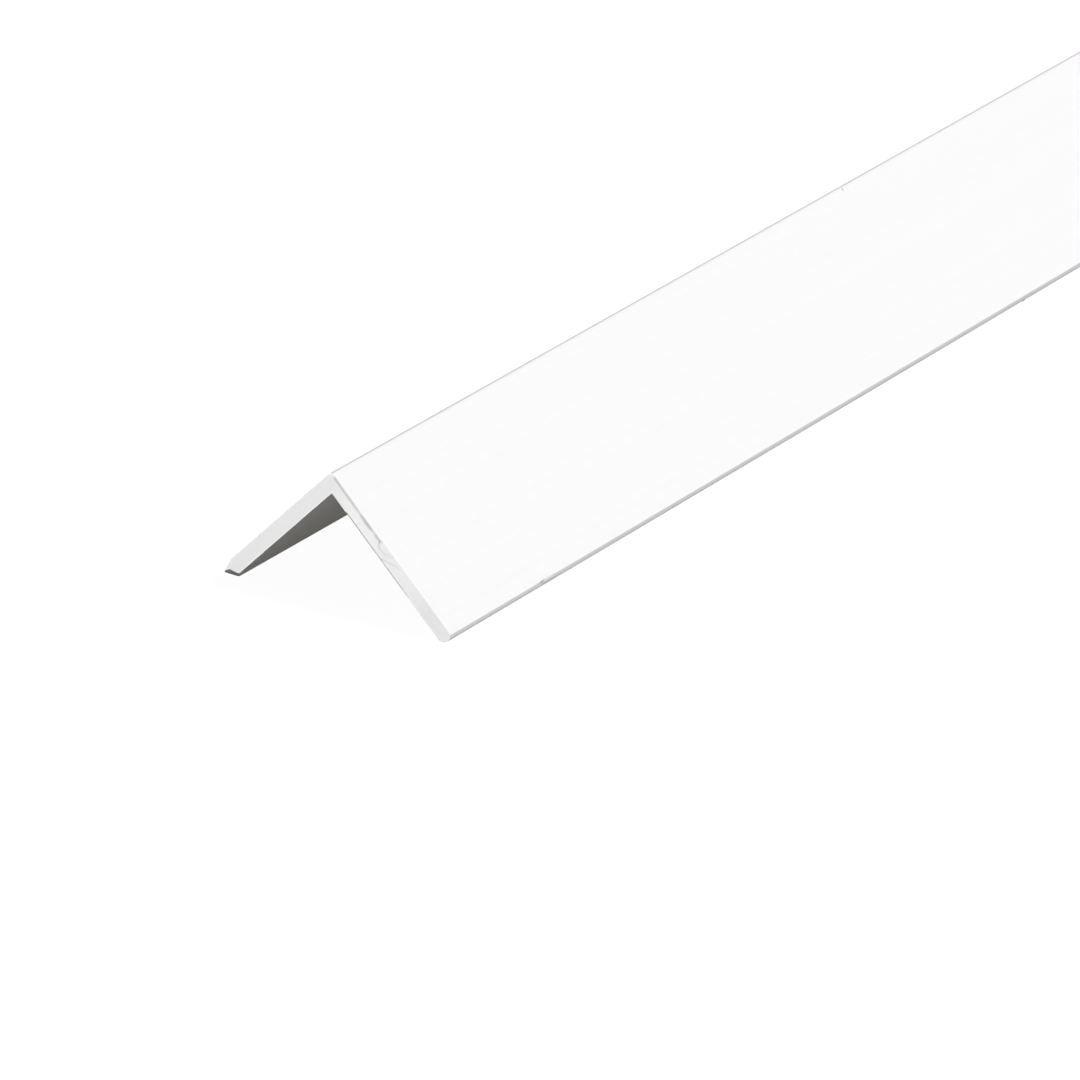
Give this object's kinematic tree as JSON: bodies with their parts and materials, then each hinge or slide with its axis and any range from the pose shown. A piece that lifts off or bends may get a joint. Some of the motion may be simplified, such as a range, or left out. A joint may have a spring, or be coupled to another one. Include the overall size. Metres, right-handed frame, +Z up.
{
  "type": "l-shaped panel trim",
  "caption": "White rigid-plastic angle trim, an L in section with equal legs and rounded tips, bonded over a panel's outer corner or edge to cover and protect it.",
  "frame": {"origin": "on the floor, below the middle of the length and of the width", "axes": "+X along the length, +Z up through the ridge, and each leg slopes down from the ridge at 45 degrees, one towards -Y and one towards +Y"},
  "size_m": [1, 0.0348, 0.0185],
  "materials": {
    "white_plastic": "satin, as extruded, with faint lengthwise die lines and saw-cut ends"
  },
  "bodies": {
    "root": {"angle_trim": "white_plastic"}
  },
  "joints": []
}
